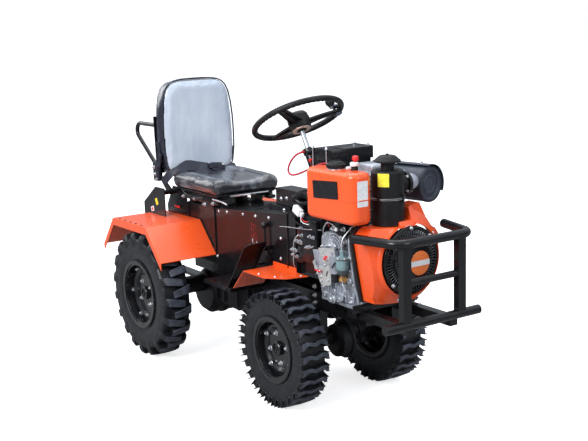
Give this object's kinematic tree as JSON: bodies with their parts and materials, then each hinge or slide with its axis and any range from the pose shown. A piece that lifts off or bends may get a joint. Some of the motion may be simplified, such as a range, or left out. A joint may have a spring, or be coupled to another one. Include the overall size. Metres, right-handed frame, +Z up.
{
  "type": "compact four-wheel tractor",
  "caption": "Compact open tractor with a front-mounted air-cooled diesel engine, tubular guard, steered front axle, lugged tyres, fenders and a driver's seat.",
  "frame": {"origin": "on the ground, under the centre of the tractor's bounding box", "axes": "+Z up, the tractor faces -Y, and its left-hand side is +X"},
  "size_m": [0.93, 2.224, 1.3837],
  "materials": {
    "black_steel": "semi-gloss black paint",
    "orange_paint": "gloss orange paint",
    "wheel_black": "satin black paint",
    "tyre_rubber": "matt",
    "cast_alloy": "as cast",
    "dark_casting": "painted black",
    "bright_steel": "bright",
    "black_plastic": "matt",
    "gloss_black": "gloss",
    "seat_vinyl": "gloss vinyl",
    "seat_cloth": "light grey cover",
    "red_cable": "smooth",
    "heat_black": "heat-proof matt black"
  },
  "bodies": {
    "chassis": {"air_cleaner": "black_plastic", "backrest_frame": "black_steel", "battery": "gloss_black", "battery_tray": "black_steel", "body_side_panels": "black_steel", "body_top": "black_steel", "bumper": "black_steel", "chassis_frame": "black_steel", "control_levers": "black_steel", "crankcase": "cast_alloy", "cylinder_block": "cast_alloy", "drawbar": "black_steel", "engine_platform": "black_steel", "exhaust_elbow": "black_steel", "fan_cover": "gloss_black", "fan_shroud": "orange_paint", "footboards": "black_steel", "footrest_plates": "black_steel", "front_axle": "dark_casting", "front_fender_left": "orange_paint", "front_fender_right": "orange_paint", "fuel_tank": "orange_paint", "gearbox": "dark_casting", "grab_handles": "black_steel", "injection_pump": "cast_alloy", "intake_elbow": "cast_alloy", "muffler": "heat_black", "pedals": "black_steel", "prop_shaft": "bright_steel", "rear_axle": "dark_casting", "rear_body_box": "black_steel", "rear_fender_left": "orange_paint", "rear_fender_right": "orange_paint", "rear_gussets": "black_steel", "seat_backrest": "seat_cloth", "seat_cross_tube": "black_steel", "seat_cushion": "seat_vinyl", "seat_slides": "black_steel", "steering_column": "black_steel", "steering_gearbox": "dark_casting", "tank_bracket": "black_steel", "tank_cap": "black_plastic", "throttle_cable": "red_cable"},
    "knuckle_right": {"knuckle_right": "dark_casting"},
    "knuckle_left": {"knuckle_left": "dark_casting"},
    "tie_rod": {"tie_rod": "bright_steel"},
    "pitman_arm": {"pitman_arm": "dark_casting"},
    "steering_wheel": {"steering_wheel": "black_plastic"},
    "front_wheel_right": {"front_tyre_right": "tyre_rubber", "front_rim_right": "wheel_black", "front_hub_right": "dark_casting"},
    "front_wheel_left": {"front_tyre_left": "tyre_rubber", "front_rim_left": "wheel_black", "front_hub_left": "dark_casting"},
    "rear_wheel_right": {"rear_tyre_right": "tyre_rubber", "rear_rim_right": "wheel_black", "rear_hub_right": "dark_casting"},
    "rear_wheel_left": {"rear_tyre_left": "tyre_rubber", "rear_rim_left": "wheel_black", "rear_hub_left": "dark_casting"}
  },
  "joints": [
    {"name": "steer_right", "type": "hinge", "parent": "chassis", "child": "knuckle_right", "pos_m": [-0.17, -0.401, 0.258], "axis": [0, 0, 1], "range_deg": [-28, 28]},
    {"name": "front_wheel_right_spin", "type": "hinge", "parent": "knuckle_right", "child": "front_wheel_right", "pos_m": [-0.268, -0.401, 0.258], "axis": [1, 0, 0], "continuous": true},
    {"name": "rear_wheel_right_spin", "type": "hinge", "parent": "chassis", "child": "rear_wheel_right", "pos_m": [-0.391, 0.63, 0.321], "axis": [1, 0, 0], "continuous": true},
    {"name": "steer_left", "type": "hinge", "parent": "chassis", "child": "knuckle_left", "pos_m": [0.17, -0.401, 0.258], "axis": [0, 0, 1], "range_deg": [-28, 28]},
    {"name": "front_wheel_left_spin", "type": "hinge", "parent": "knuckle_left", "child": "front_wheel_left", "pos_m": [0.268, -0.401, 0.258], "axis": [1, 0, 0], "continuous": true},
    {"name": "rear_wheel_left_spin", "type": "hinge", "parent": "chassis", "child": "rear_wheel_left", "pos_m": [0.391, 0.63, 0.321], "axis": [1, 0, 0], "continuous": true},
    {"name": "tie_rod_pivot", "type": "hinge", "parent": "knuckle_right", "child": "tie_rod", "pos_m": [-0.17, -0.301, 0.326], "axis": [0, 0, 1], "range_deg": [-28, 28]},
    {"name": "pitman_turn", "type": "hinge", "parent": "chassis", "child": "pitman_arm", "pos_m": [0, -0.401, 0.348], "axis": [0, 0, 1], "range_deg": [-28, 28]},
    {"name": "steering_wheel_turn", "type": "hinge", "parent": "chassis", "child": "steering_wheel", "pos_m": [0, -0.175, 1.225], "axis": [0, 0.4879, 0.8729], "range_deg": [-336, 336]}
  ],
  "couplings": [
    {"joint": "steer_left", "follows": "steer_right", "ratio": 1},
    {"joint": "tie_rod_pivot", "follows": "steer_right", "ratio": -1},
    {"joint": "pitman_turn", "follows": "steer_right", "ratio": 1},
    {"joint": "steering_wheel_turn", "follows": "steer_right", "ratio": 12}
  ]
}
